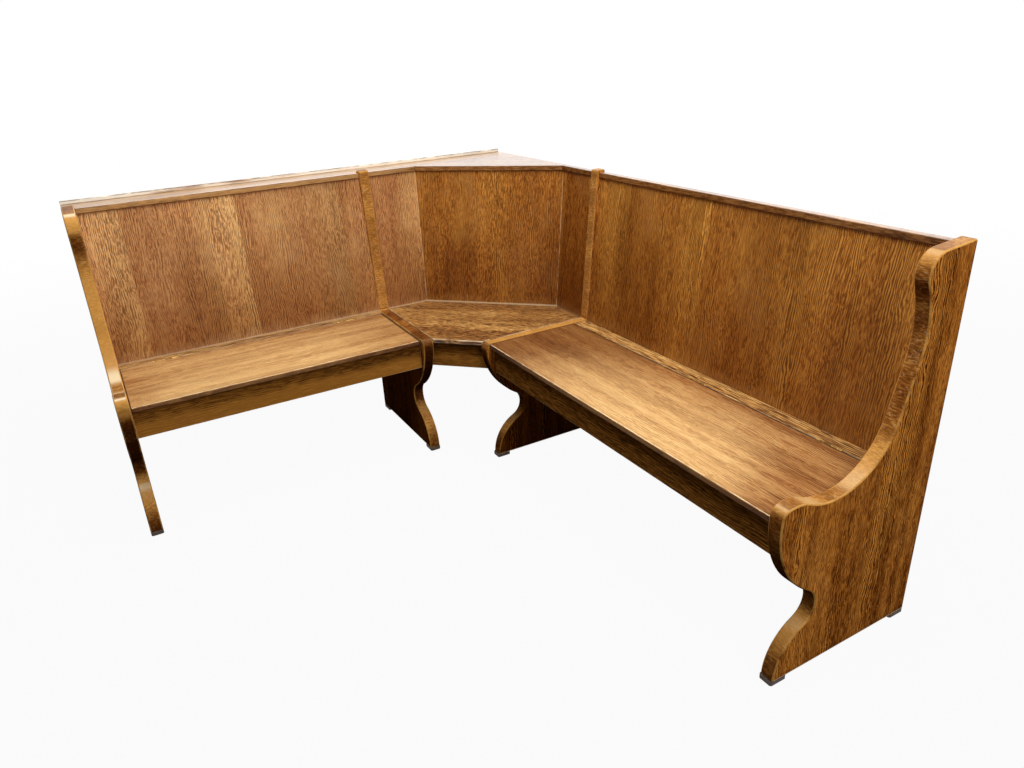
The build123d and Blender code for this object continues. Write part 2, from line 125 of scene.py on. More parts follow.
EndSideOak = oak_shades(
    "EndSideOak", "Flat sides of the shaped ends",
    dark=(80, 36, 8), middle=(172, 100, 36), light=(236, 156, 66), fleck=(240, 176, 90),
)
EndEdgeOak = oak_shades(
    "EndEdgeOak", "Shaped front and top edges of the ends",
    dark=(84, 44, 12), middle=(158, 96, 40), light=(226, 166, 84), fleck=(250, 224, 180),
)
LeftVeneer = oak_shades(
    "LeftVeneer", "Back panels on the left run and the left return",
    dark=(112, 62, 30), middle=(224, 157, 100), light=(255, 210, 138), fleck=(230, 184, 134),
)
RightVeneer = oak_shades(
    "RightVeneer", "Back panels on the right run, the right return and the centre of the corner",
    dark=(88, 44, 4), middle=(190, 118, 46), light=(250, 184, 86), fleck=(202, 148, 86),
)
LidOak = oak_shades(
    "LidOak", "Lifting seat boards",
    dark=(150, 94, 46), middle=(220, 164, 100), light=(248, 206, 140), fleck=(255, 228, 176),
)
SeatOak = oak_shades(
    "SeatOak", "Fixed seat strips and the corner seat",
    dark=(84, 46, 14), middle=(170, 114, 58), light=(240, 190, 112), fleck=(246, 204, 136),
)
CapOak = oak_shades(
    "CapOak", "Caps, corner top and ledge",
    dark=(84, 48, 18), middle=(160, 108, 56), light=(206, 152, 90), fleck=(222, 174, 114),
)
ApronOak = oak_shades(
    "ApronOak", "Aprons under the seats",
    dark=(60, 34, 10), middle=(126, 78, 30), light=(186, 124, 50), fleck=(196, 136, 62),
)
FrameOak = oak_shades(
    "FrameOak", "Rails, cleats, battens and box floors, left without stain",
    dark=(112, 78, 44), middle=(164, 122, 78), light=(196, 154, 104), fleck=(204, 164, 116),
)


class BenchFittings(bpy.types.PropertyGroup):
    """Hinges, bolts, foot pads and the lip of the ledge"""

    brass: shade("Brass", "Hinge leaves, knuckles and pins", 178, 140, 78)
    tarnish: shade("Tarnish", "Dulled brass", 96, 70, 40)
    steel: shade("Steel", "Bolts and nuts", 150, 150, 148)
    steel_stain: shade("Steel stain", "Dull patches on the steel", 96, 90, 84)
    pad: shade("Pad", "Dark foot pads", 52, 38, 28)
    pad_dust: shade("Pad dust", "Dust on the foot pads", 92, 76, 62)
    # The pale of the lip is painted glare
    ledge_lip: shade("Ledge lip", "Lip of the ledge, rubbed pale", 255, 246, 228)


class BenchSizes(bpy.types.PropertyGroup):
    """Sizes of the finish"""

    arris: length("Arris", "Width taken off each sharp edge", 0.0013)
    corner_arris: length("Corner arris", "Width taken off the edges of the corner seat", 0.002)
    end_arris: length("End arris", "Width taken off the edges of the chamfered ends", 0.0009)
    leaf: length("Veneer leaf", "Width of one leaf of veneer on a back panel", 0.186)
    haze: length("Foot haze", "Height of the dulled band at the foot of a back panel", 0.045)
    edge_wear: share("Edge wear", "How far the arrises are rubbed down to pale wood", 0.9)
    seat_wear: share("Seat wear", "How far the lids are rubbed where people sit", 0.7)


class BenchStage(bpy.types.PropertyGroup):
    """Camera, lamps and floor"""

    camera: FloatVectorProperty(
        name="Camera", description="Place of the camera", subtype="TRANSLATION", size=3, unit="LENGTH",
        default=(1.92174, -0.78876, 1.40106),
    )
    yaw: angle("Yaw", "Turn of the camera from +Y towards -X", 61.13)
    pitch: angle("Pitch", "How far the camera looks down", 24.17)
    roll: angle("Roll", "Turn of the camera about its own line of sight", 2.81)
    focal_pixels: FloatProperty(
        name="Focal length", description="Focal length in pixels of a picture 1024 wide", default=766.45
    )
    ambient: FloatProperty(name="Ambient", description="Strength of the even light", default=0.05)
    ceiling: power("Ceiling", "Power of the lamp above", 65.0)
    side: power("Side", "Power of the lamp beyond the right end", 50.0)
    rear: power("Rear", "Power of the lamp behind the corner", 17.0)
    floor: shade("Floor", "Colour of the floor", 130, 130, 130)


class BenchSettings(bpy.types.PropertyGroup):
    """All settings of the bench"""

    end_side: PointerProperty(type=EndSideOak)
    end_edge: PointerProperty(type=EndEdgeOak)
    left_veneer: PointerProperty(type=LeftVeneer)
    right_veneer: PointerProperty(type=RightVeneer)
    lid: PointerProperty(type=LidOak)
    seat: PointerProperty(type=SeatOak)
    cap: PointerProperty(type=CapOak)
    apron: PointerProperty(type=ApronOak)
    frame: PointerProperty(type=FrameOak)
    fittings: PointerProperty(type=BenchFittings)
    sizes: PointerProperty(type=BenchSizes)
    stage: PointerProperty(type=BenchStage)


def settings():
    return bpy.context.scene.corner_bench


# Nodes of the finishes


def add(tree, kind, inputs=None, **choices):
    """A shader node with its choices made and its inputs set or linked."""
    made = tree.nodes.new("ShaderNode" + kind)
    for name, value in choices.items():
        setattr(made, name, value)
    for name, value in (inputs or {}).items():
        connect(tree, value, made.inputs[name])
    return made


def connect(tree, value, socket):
    """Links a socket, or sets a plain value."""
    if isinstance(value, bpy.types.NodeSocket):
        tree.links.new(value, socket)
    else:
        socket.default_value = value


def calc(tree, operation, first, second=0.0):
    return add(tree, "Math", {0: first, 1: second}, operation=operation).outputs[0]


def plus(tree, first, *others):
    for other in others:
        first = calc(tree, "ADD", first, other)
    return first


def times(tree, first, *others):
    for other in others:
        first = calc(tree, "MULTIPLY", first, other)
    return first


def clamped(tree, value, low, high):
    """A value brought to 0 at low and 1 at high, smoothly."""
    inputs = {"Value": value, "From Min": low, "From Max": high}
    return add(tree, "MapRange", inputs, interpolation_type="SMOOTHSTEP").outputs["Result"]


def mixed(tree, factor, first, second, way="MIX"):
    """Two colours mixed by a factor."""
    made = add(tree, "Mix", data_type="RGBA", blend_type=way)
    for place, value in ((0, factor), (6, first), (7, second)):
        connect(tree, value, made.inputs[place])
    return made.outputs[2]


def noise(tree, vector, along, across, detail=2.0, roughness=0.55, distortion=0.0):
    """Noise with its scales along and across the grain."""
    inputs = {0: vector, 1: (along, across, across)}
    place = add(tree, "VectorMath", inputs, operation="MULTIPLY").outputs[0]
    inputs = {
        "Vector": place, "Scale": 1.0, "Detail": detail, "Roughness": roughness, "Distortion": distortion,
    }
    return add(tree, "TexNoise", inputs).outputs["Fac"]


def patches(tree, vector, along, across, low, high, **figure):
    """A mask of noise that goes from 0 at one level to 1 at another."""
    return clamped(tree, noise(tree, vector, along, across, **figure), low, high)


def swing(tree, vector, along, across):
    """Noise about zero."""
    return calc(tree, "SUBTRACT", noise(tree, vector, along, across), 0.5)


def colour(value):
    return (value[0], value[1], value[2], 1.0)


def empty_material(name):
    """A new material without nodes, and its tree."""
    material = bpy.data.materials.new(name)
    material.use_nodes = True
    material.node_tree.nodes.clear()
    return material, material.node_tree


def new_group(name, inputs, outputs):
    """A shader group with named inputs, their defaults, and named outputs."""
    group = bpy.data.node_groups.new(name, "ShaderNodeTree")
    for label, default in inputs.items():
        kind = "NodeSocketVector" if default is None else "NodeSocketFloat"
        socket = group.interface.new_socket(label, in_out="INPUT", socket_type=kind)
        if default is not None:
            socket.default_value = default
    for label in outputs:
        group.interface.new_socket(label, in_out="OUTPUT", socket_type="NodeSocketFloat")
    return group, group.nodes.new("NodeGroupInput").outputs


def close_group(group, results):
    """Links the results of a group to its outputs."""
    ends = group.nodes.new("NodeGroupOutput").inputs
    for label, value in results.items():
        group.links.new(value, ends[label])
    return group


GRAIN_OUTPUTS = ("Band", "Streak", "Dash", "Pores", "Fleck")

# Rings to the metre, how far the lines sway, and how strong they are where they are weakest
RINGS = 125.0
SPREAD_SWAY = 0.9
QUICK_SWAY = 0.3
FAINT_RING = 0.18
BROKEN_RING = 0.2

# Leaves of veneer: how the grain fans and leans in one, how far apart in the log two were cut, and the part
# of a figured leaf over which the figure grows
LEAF_FAN = 0.07
LEAF_LEAN = 0.07
LEAF_SHIFT = 5.3
FIGURE_GROWTH = 0.9

RAGGED_SCALE = 14.0
WEAR_SCALE = 19.0


def oak_grain_group():
    """Bands, bunches of thin wavy rings, short dashes, pores and ray flecks of oak that grows along X."""
    found = bpy.data.node_groups.get("oak_grain")
    if found:
        return found
    inputs = {"Vector": None, "Waviness": 0.01, "Density": 1.0, "Shortness": 1.0}
    group, given = new_group("oak_grain", inputs, GRAIN_OUTPUTS)
    place = given["Vector"]
    slow = swing(group, place, along=2.1, across=4.0)
    quick = times(group, swing(group, place, along=24.0, across=34.0), QUICK_SWAY)
    spread = times(group, swing(group, place, along=3.0, across=17.0), SPREAD_SWAY)
    sway = times(group, plus(group, slow, quick, spread), given["Waviness"])
    shift = add(group, "CombineXYZ", {"Y": sway, "Z": sway}).outputs[0]
    swayed = add(group, "VectorMath", {0: place, 1: shift}, operation="ADD").outputs[0]
    ratio = {"X": given["Shortness"], "Y": given["Density"], "Z": given["Density"]}
    ratio = add(group, "CombineXYZ", ratio).outputs[0]
    board = add(group, "VectorMath", {0: swayed, 1: ratio}, operation="MULTIPLY").outputs[0]
    across = add(group, "SeparateXYZ", {"Vector": board}).outputs["Y"]
    ring = calc(group, "PINGPONG", times(group, across, RINGS), 0.5)
    ring = calc(group, "SUBTRACT", times(group, ring, 2.0), 0.5)
    bunch = patches(group, place, along=1.3, across=12.0, low=0.42, high=0.66, detail=1.0)
    bunch = plus(group, times(group, bunch, 1.0 - FAINT_RING), FAINT_RING)
    broken = patches(group, board, along=5.0, across=90.0, low=0.3, high=0.62, detail=1.0)
    broken = plus(group, times(group, broken, 1.0 - BROKEN_RING), BROKEN_RING)
    results = {
        "Band": patches(group, board, along=1.1, across=17.0, low=0.34, high=0.66, detail=1.0),
        "Streak": plus(group, times(group, ring, bunch, broken), 0.5),
        "Dash": patches(group, board, along=26.0, across=290.0, low=0.35, high=0.65, detail=1.0),
        "Pores": patches(group, board, along=36.0, across=820.0, low=0.55, high=0.7, detail=1.0),
        "Fleck": patches(
            group, board, along=27.0, across=150.0, low=0.58, high=0.72, detail=1.5, distortion=0.9
        ),
    }
    return close_group(group, results)


def veneer_grain_group():
    """Oak grain laid in leaves side by side along Y, each cut from another place in the log."""
    found = bpy.data.node_groups.get("veneer_grain")
    if found:
        return found
    outputs = GRAIN_OUTPUTS + ("Leaf", "Figured")
    inputs = {"Vector": None, "Leaf Width": 0.18, "Waviness": 0.01, "Density": 1.0, "Shortness": 1.0}
    group, given = new_group("veneer_grain", inputs, outputs)
    parts = add(group, "SeparateXYZ", {"Vector": given["Vector"]}).outputs
    place = calc(group, "DIVIDE", parts["Y"], given["Leaf Width"])
    leaf = calc(group, "FLOOR", place)
    chance = add(group, "TexWhiteNoise", {"W": leaf}, noise_dimensions="1D").outputs["Value"]
    inside = calc(group, "SUBTRACT", place, leaf)
    every_other = calc(group, "PINGPONG", leaf, 1.0)
    figured = times(group, every_other, clamped(group, inside, 0.0, FIGURE_GROWTH))
    fan = times(group, calc(group, "SUBTRACT", inside, 0.5), parts["X"], LEAF_FAN)
    lean = times(group, calc(group, "SUBTRACT", chance, 0.5), parts["X"], LEAF_LEAN)
    across = plus(group, parts["Y"], fan, lean, times(group, chance, LEAF_SHIFT))
    cut = add(group, "CombineXYZ", {"X": parts["X"], "Y": across, "Z": parts["Z"]}).outputs[0]
    grain = add(group, "Group", node_tree=oak_grain_group())
    connect(group, cut, grain.inputs["Vector"])
    for label in ("Waviness", "Density", "Shortness"):
        connect(group, given[label], grain.inputs[label])
    results = {label: grain.outputs[label] for label in GRAIN_OUTPUTS}
    results.update({"Leaf": chance, "Figured": figured})
    return close_group(group, results)


def soft_band_group():
    """Goes from 0 to 1 between two places, with a ragged edge."""
    found = bpy.data.node_groups.get("soft_band")
    if found:
        return found
    inputs = {"Vector": None, "Place": 0.0, "Low": 0.0, "High": 1.0, "Ragged": 0.02}
    group, given = new_group("soft_band", inputs, ("Mask",))
    rough = noise(group, given["Vector"], RAGGED_SCALE, RAGGED_SCALE, detail=5.0, roughness=0.7)
    push = times(group, calc(group, "SUBTRACT", rough, 0.5), given["Ragged"])
    place = plus(group, given["Place"], push)
    return close_group(group, {"Mask": clamped(group, place, given["Low"], given["High"])})


def edge_wear_group():
    """Where the arrises are rubbed, broken up along their length."""
    found = bpy.data.node_groups.get("edge_wear")
    if found:
        return found
    group, given = new_group("edge_wear", {"Vector": None, "Amount": 0.7}, ("Mask",))
    edge = add(group, "Attribute", attribute_name=ARRIS).outputs["Fac"]
    broken = patches(group, given["Vector"], WEAR_SCALE, WEAR_SCALE, low=0.3, high=0.62, detail=3.0)
    return close_group(group, {"Mask": times(group, edge, broken, given["Amount"])})


# Where the dark, middle and light shades lie on the grain's ramp
RAMP_STOPS = (0.2, 0.5, 0.8)

# What the pores and dashes of the grain do to the colour, the gloss and the relief
PORE_SHADE = 0.55
PORE_DULLNESS = 0.12
DASH_DULLNESS = -0.1
PORE_HEIGHT = -0.7
DASH_HEIGHT = 0.3
RELIEF = 0.0006
RELIEF_STRENGTH = 0.22

CLOUD_FADE = 0.25
RIM_SLOPE = (0.7, 0.95)
GRIME_SHARE = 0.9
POLISH_ROUGHNESS = 0.3


class Coat:
    """An oak finish while it is put together: its nodes, and its colour and gloss so far."""

    def __init__(
        self, name, shades, along, across, grain, weights=(0.25, 0.5, 0.3), rays=0.2, start=0.0, **figure
    ):
        self.material, self.tree = empty_material(name)
        self.object_place = add(self.tree, "TexCoord").outputs["Object"]
        self.axes = add(self.tree, "SeparateXYZ", {"Vector": self.object_place}).outputs
        self.upward = add(self.tree, "Attribute", attribute_name=UPWARD).outputs["Fac"]
        turn = Matrix((along, across, along.cross(across))).to_euler()
        mapping = {"Vector": self.object_place, "Rotation": turn, "Location": (0.0, -start, 0.0)}
        self.board = add(self.tree, "Mapping", mapping, vector_type="POINT").outputs[0]
        self.grain = add(self.tree, "Group", node_tree=grain)
        connect(self.tree, self.board, self.grain.inputs["Vector"])
        for label, value in figure.items():
            self.grain.inputs[label.replace("_", " ").title()].default_value = value
        self.shades = shades
        self.colour = self.grain_colour(weights, rays)
        self.rough = self.grain_sum(PORE_DULLNESS, DASH_DULLNESS)

    def grain_colour(self, weights, rays):
        """Dark lines, body and golden grain, then flecks and pores."""
        tree = self.tree
        found = self.grain.outputs
        value = 0.5 - 0.5 * sum(weights)
        for label, weight in zip(("Band", "Streak", "Dash"), weights):
            value = plus(tree, value, times(tree, found[label], weight))
        ramp = add(tree, "ValToRGB", {"Fac": value})
        stops = ramp.color_ramp.elements
        stops[0].position = RAMP_STOPS[0]
        stops[0].color = colour(self.shades.dark)
        stops[1].position = RAMP_STOPS[2]
        stops[1].color = colour(self.shades.light)
        stops.new(RAMP_STOPS[1]).color = colour(self.shades.middle)
        flecks = times(tree, found["Fleck"], rays)
        flecked = mixed(tree, flecks, ramp.outputs["Color"], colour(self.shades.fleck))
        return mixed(tree, times(tree, found["Pores"], PORE_SHADE), flecked, colour(self.shades.dark))

    def grain_sum(self, pores, dashes):
        """The pores and the dashes of the grain, each times its own weight."""
        found = self.grain.outputs
        return plus(self.tree, self.times(found["Pores"], pores), self.times(found["Dash"], dashes))

    def times(self, first, *others):
        return times(self.tree, first, *others)

    def inverse(self, mask):
        return calc(self.tree, "SUBTRACT", 1.0, mask)

    def facing(self, low, high):
        """Mask that goes from 0 to 1 between two slopes: 1 faces up and -1 faces down."""
        return clamped(self.tree, self.upward, low, high)

    def band(self, place, low, high, ragged=0.0):
        """Mask that goes from 0 to 1 between two places on an axis."""
        made = add(self.tree, "Group", node_tree=soft_band_group())
        values = {"Vector": self.object_place, "Place": place, "Low": low, "High": high, "Ragged": ragged}
        for label, value in values.items():
            connect(self.tree, value, made.inputs[label])
        return made.outputs["Mask"]

    def above(self, low, high, ragged=0.0):
        """Mask that goes from 0 to 1 between two heights."""
        return self.band(self.axes["Z"], low, high, ragged)

    def below(self, low, high, ragged=0.0):
        """Mask that goes from 1 to 0 between two heights."""
        return self.inverse(self.above(low, high, ragged))

    def tint(self, mask, target, amount, way="MIX"):
        """Mixes the colour towards another one where a mask says."""
        self.colour = mixed(self.tree, self.times(mask, amount), self.colour, colour(target), way)

    def stain(self, mask, target, amount):
        """Darkens the colour by another one where a mask says."""
        self.tint(mask, target, amount, "MULTIPLY")

    def cloud(self, target, amount, along, across, level, way="MULTIPLY"):
        """Tints in soft patches, longer along the grain."""
        figure = {"detail": 3.0, "roughness": 0.6}
        mask = patches(self.tree, self.board, along, across, level, level + CLOUD_FADE, **figure)
        self.tint(mask, target, amount, way)

    def finish(self, roughness, coat=0.1, specular=0.4, arris=None, rub=0.9, rim=False, grime=None):
        """Rubs the arrises, darkens the joints, then puts colour, gloss and relief on the surface."""
        tree = self.tree
        wear = add(tree, "Group", node_tree=edge_wear_group())
        connect(tree, self.object_place, wear.inputs["Vector"])
        wear.inputs["Amount"].default_value = settings().sizes.edge_wear
        worn = wear.outputs["Mask"]
        if rim:
            worn = self.times(worn, self.facing(*RIM_SLOPE))
        self.tint(worn, arris or settings().end_edge.fleck, rub)
        if grime:
            self.tint(grime, GRIME, GRIME_SHARE)
        height = self.grain_sum(PORE_HEIGHT, DASH_HEIGHT)
        relief = add(tree, "Bump", {"Strength": RELIEF_STRENGTH, "Distance": RELIEF, "Height": height})
        surface = add(
            tree, "BsdfPrincipled",
            {
                "Base Color": self.colour,
                "Roughness": plus(tree, self.rough, roughness),
                "Specular IOR Level": specular,
                "Coat Weight": coat,
                "Coat Roughness": POLISH_ROUGHNESS,
                "Normal": relief.outputs["Normal"],
            },
        )
        add(tree, "OutputMaterial", {"Surface": surface.outputs["BSDF"]})
        return self.material


# Finishes

# Colours that darken the wood: the first and the third stand for real stain in some places and for painted
# shade in others, the second is painted shade only
STAIN_AND_SHADING = (0.58, 0.47, 0.38)
PAINTED_SHADE = (0.35, 0.27, 0.21)
DEEPER_STAIN_AND_SHADE = (0.5, 0.4, 0.28)
PLAIN_LEAF = (0.74, 0.64, 0.58)
BARE_SHADE = (0.76, 0.68, 0.6)
GRIME = (0.03, 0.012, 0.005)

# Slopes between which a mask goes from 0 to 1
LEVEL_SLOPE = (0.96, 0.998)
CREST_SLOPE = (0.8, 0.93)
GOLD_SLOPE = (0.3, 0.9)
STEEP_SLOPE = (0.7, 0.25)
UNDER_SLOPE = (0.1, -0.6)
END_GLOSS_SLOPE = (0.5, 1.6)
CAP_GLOSS_SLOPE = (0.2, 1.3)
LID_EDGE_SLOPE = (0.98, 0.6)
GOLD_FADE = 0.6

# Heights between which a mask goes from 0 to 1
SOLE_LINE = (SOLE + 0.002, SOLE + 0.0035)
FOOT_DIRT = (SOLE, SOLE + 0.02)
COVE = (0.15, 0.23)
NOSE_FOOT = (APRON_HIGH - 0.03, SEAT_TOP - 0.005)
NOSE_TOP = (SEAT_TOP + 0.004, SEAT_TOP + 0.012)
PANEL_JOINT = (SEAT_TOP + 0.003, SEAT_TOP + 0.006)
PANEL_SHADE = (SEAT_TOP, SEAT_TOP + 0.46)
HAZE_FOOT = SEAT_TOP - 0.01
APRON_MIDDLE = (APRON_LOW + APRON_HIGH) / 2
APRON_SHADE = (APRON_MIDDLE - 0.012, APRON_MIDDLE + 0.02)

PANEL_SPECULAR = 0.12

# Shares of a lid's length and depth that are darkened, partly by dirt and partly by painted shade, the dirt
# at its hinge, and its dull edges
CORNER_SHADE = 0.42
OUTER_SHADE = 0.2
LID_REAR_SHADE = 0.2
JOINT_DIRT = 0.006
JOINT_RAGGED = 0.002
HINGE_DIRT_SHARE = 0.8
LID_EDGE_DULLNESS = 0.45

# Metal and pads
FINE_RATIO = 9
DULL_ROUGHNESS = 0.25
FINE_RELIEF = 0.0003


def end_side_finish(name, across, under, rub):
    """Upright, wavy grain with slanted rays, on the flat sides of the ends."""
    edge_shades = settings().end_edge
    coat = Coat(
        name, settings().end_side, UP, across, oak_grain_group(),
        weights=(0.25, 1.2, 0.32), rays=0.35, waviness=0.05, density=1.3, shortness=1.2,
    )
    coat.cloud(STAIN_AND_SHADING, 0.5, along=2.0, across=5.0, level=0.42)
    coat.cloud(settings().cap.middle, 0.3, along=4.0, across=5.0, level=0.52, way="MIX")
    # Painted shade on the sides below the seat, full on the inner ends
    coat.stain(coat.below(APRON_LOW, SEAT_TOP, ragged=0.02), PAINTED_SHADE, under)
    coat.stain(coat.below(*FOOT_DIRT, ragged=0.004), STAIN_AND_SHADING, 0.5)
    coat.tint(coat.below(*SOLE_LINE), edge_shades.fleck, 0.7)
    return coat.finish(0.5, coat=0.0, specular=0.0, arris=edge_shades.light, rub=rub)


def end_edge_finish(name, thickness, rub, rise, painted_light, pale, level_light, level_shade, nose_shade):
    """Brown lipping with specks across it: golden and pale where it faces up, near black underneath."""
    shades = settings().end_edge
    coat = Coat(
        name, shades, thickness, UP, oak_grain_group(),
        weights=(0.22, 0.0, 0.24), rays=0.25, waviness=0.003, density=0.9, shortness=3.0,
    )
    coat.cloud(STAIN_AND_SHADING, 0.5, along=9.0, across=9.0, level=0.45)
    # Painted light: golden where the edge turns up, except on its level parts
    above = coat.above(*NOSE_FOOT, ragged=0.01)
    level = coat.facing(*LEVEL_SLOPE)
    slope = coat.times(coat.facing(rise, rise + GOLD_FADE), above)
    slope = calc(coat.tree, "MAXIMUM", slope, coat.facing(*GOLD_SLOPE))
    coat.tint(coat.times(slope, coat.inverse(level)), shades.light, painted_light)
    # Pale painted highlight on the crests of the edge
    coat.tint(coat.times(coat.facing(*CREST_SLOPE), coat.inverse(level)), shades.fleck, pale)
    # Painted light and painted shade on the level parts
    coat.tint(level, shades.light, level_light)
    coat.stain(level, STAIN_AND_SHADING, level_shade)
    # Painted shade where the edge turns down, and on the steep parts below the nose
    coat.stain(coat.facing(*UNDER_SLOPE), PAINTED_SHADE, 0.9)
    coat.stain(coat.times(coat.inverse(above), coat.facing(*STEEP_SLOPE)), PAINTED_SHADE, 0.85)
    # Painted shade on the nose, except on its level parts
    nose = coat.times(coat.below(*NOSE_TOP), coat.above(*COVE, ragged=0.02))
    coat.stain(coat.times(nose, coat.inverse(level)), PAINTED_SHADE, nose_shade)
    return coat.finish(0.36, coat=coat.facing(*END_GLOSS_SLOPE), specular=0.0, arris=shades.light, rub=rub)


def veneer_finish(name, palette, across, first_joint, shortness, contrast, foot, tone, broad, seam):
    """Upright leaves of veneer: plain ones, and ones that turn golden and streaky to one side."""
    shades = getattr(settings(), palette)
    sizes = settings().sizes
    coat = Coat(
        name, shades, UP, across, veneer_grain_group(), weights=(0.12, 1.6, 0.5), rays=0.1,
        start=first_joint, leaf_width=sizes.leaf, waviness=0.04, shortness=shortness,
    )
    figured = coat.grain.outputs["Figured"]
    plain = coat.inverse(figured)
    coat.tint(plain, shades.middle, 0.5 * contrast)
    coat.stain(plain, PLAIN_LEAF, contrast)
    coat.tint(figured, shades.light, 0.3 * contrast)
    coat.stain(coat.grain.outputs["Leaf"], STAIN_AND_SHADING, 0.8 * contrast)
    # Patches that darken the whole face: painted shade, strongest on the right return
    coat.cloud(STAIN_AND_SHADING, tone, along=3.0, across=6.0, level=0.46 - 0.4 * tone)
    coat.cloud(DEEPER_STAIN_AND_SHADE, 0.55, along=1.5, across=3.5, level=0.44)
    coat.cloud(DEEPER_STAIN_AND_SHADE, broad, along=0.7, across=11.0, level=0.47)
    coat.tint(1.0, shades.middle, 0.25 * broad)
    coat.cloud(shades.light, 0.25, along=2.5, across=5.0, level=0.5, way="MIX")
    coat.cloud(shades.fleck, 0.2, along=4.0, across=6.0, level=0.48, way="MIX")
    # Painted shade at the foot of the panel, just above the seat
    coat.stain(coat.below(*PANEL_SHADE, ragged=0.1), DEEPER_STAIN_AND_SHADE, foot)
    coat.tint(coat.below(HAZE_FOOT, SEAT_TOP + sizes.haze, ragged=0.09), shades.fleck, 0.2)
    coat.tint(coat.below(*PANEL_JOINT, ragged=0.003), settings().end_edge.fleck, seam)
    return coat.finish(0.42, coat=0.0, specular=PANEL_SPECULAR)


def lid_finish(name, along, across, corner, outer, rear, front, worn, skew, dirt):
    """Lengthwise grain, rubbed bright where people sit, dark at the hinge, at the ends and down the edges."""
    shades = settings().lid
    coat = Coat(
        name, shades, along, across, oak_grain_group(),
        weights=(0.3, 0.9, 0.35), waviness=0.03, density=1.25, shortness=0.6,
    )
    run = coat.axes["X" if along.x else "Y"]
    depth = coat.axes["Y" if along.x else "X"]
    forward = math.copysign(1.0, front - rear)
    inward = math.copysign(1.0, outer - corner)
    slant = coat.times(calc(coat.tree, "SUBTRACT", depth, front), skew)
    near = calc(coat.tree, "SUBTRACT", run, slant)
    near = coat.band(near, corner, corner + CORNER_SHADE * (outer - corner), ragged=0.2)
    far = coat.band(plus(coat.tree, run, slant), outer, outer + OUTER_SHADE * (corner - outer), ragged=0.1)
    behind = coat.band(depth, rear, rear + LID_REAR_SHADE * forward, ragged=0.1)
    inside = coat.times(near, far, behind)
    # The ends and the rear made darker: dirt, and painted shade in the corner and along the back
    coat.stain(coat.inverse(inside), STAIN_AND_SHADING, worn)
    coat.stain(coat.inverse(near), DEEPER_STAIN_AND_SHADE, 0.8 * worn)
    coat.cloud(STAIN_AND_SHADING, 0.4, along=2.0, across=16.0, level=0.45)
    coat.tint(inside, shades.light, 0.4 * settings().sizes.seat_wear)
    # Painted shade down the edges that turn away from the top
    edge = coat.facing(*LID_EDGE_SLOPE)
    coat.stain(edge, PAINTED_SHADE, 1.0)
    coat.rough = plus(coat.tree, coat.rough, coat.times(edge, LID_EDGE_DULLNESS))
    joint = coat.band(run, corner + 0.7 * dirt * inward, corner + dirt * inward, JOINT_RAGGED)
    hinge = coat.band(
        depth, rear + 0.5 * JOINT_DIRT * forward, rear + JOINT_DIRT * forward, JOINT_RAGGED
    )
    hinge = coat.times(coat.inverse(hinge), HINGE_DIRT_SHARE)
    grime = calc(coat.tree, "MAXIMUM", coat.inverse(joint), hinge)
    return coat.finish(0.46, coat=0.05, specular=0.3, arris=shades.fleck, rub=1.0, rim=True, grime=grime)


def seat_finish(name, along, across, stain, waviness, shortness):
    """Coarser, flecked grain of the fixed seat boards."""
    coat = Coat(
        name, settings().seat, along, across, oak_grain_group(),
        weights=(0.25, 1.2, 0.6), rays=0.4, waviness=waviness, density=1.0, shortness=shortness,
    )
    coat.cloud(STAIN_AND_SHADING, stain, along=3.0, across=9.0, level=0.3)
    return coat.finish(0.44, specular=0.35, rub=0.6)


def cap_finish(name, along, across, stain=0.0, rubbed=0.0, pale=None):
    """Plain lengthwise grain under a brighter polish."""
    shades = settings().cap
    coat = Coat(name, shades, along, across, oak_grain_group(), waviness=0.01, shortness=1.4)
    coat.cloud(STAIN_AND_SHADING, 0.4, along=2.0, across=12.0, level=0.44)
    # Painted shade on the faces that do not turn up
    coat.stain(coat.inverse(coat.upward), STAIN_AND_SHADING, stain)
    # Patches of pale painted glare
    if rubbed:
        coat.cloud(pale or shades.fleck, rubbed, along=3.0, across=30.0, level=0.3, way="MIX")
    return coat.finish(0.26, coat=coat.facing(*CAP_GLOSS_SLOPE), specular=0.1, arris=shades.dark)


def apron_finish(name, along, stain, painted_light):
    """Lengthwise grain, dark under the seat and golden along the lower half."""
    shades = settings().apron
    coat = Coat(
        name, shades, along, UP, oak_grain_group(),
        weights=(0.15, 0.6, 0.3), waviness=0.03, density=1.0, shortness=0.8,
    )
    # Painted shadow of the lid's overhang on the upper half, painted light on the lower half
    upper = coat.above(*APRON_SHADE, ragged=0.04)
    coat.tint(coat.inverse(upper), shades.light, painted_light)
    coat.stain(upper, PAINTED_SHADE, stain)
    return coat.finish(0.5, coat=0.0, specular=0.0)


def frame_finish(name, along, across):
    """Bare, unstained timber out of sight under the seats and behind the backs."""
    coat = Coat(
        name, settings().frame, along, across, oak_grain_group(), waviness=0.02, density=0.8, shortness=1.2
    )
    coat.cloud(BARE_SHADE, 0.5, along=2.0, across=7.0, level=0.4)
    return coat.finish(0.7, coat=0.0, specular=0.2)


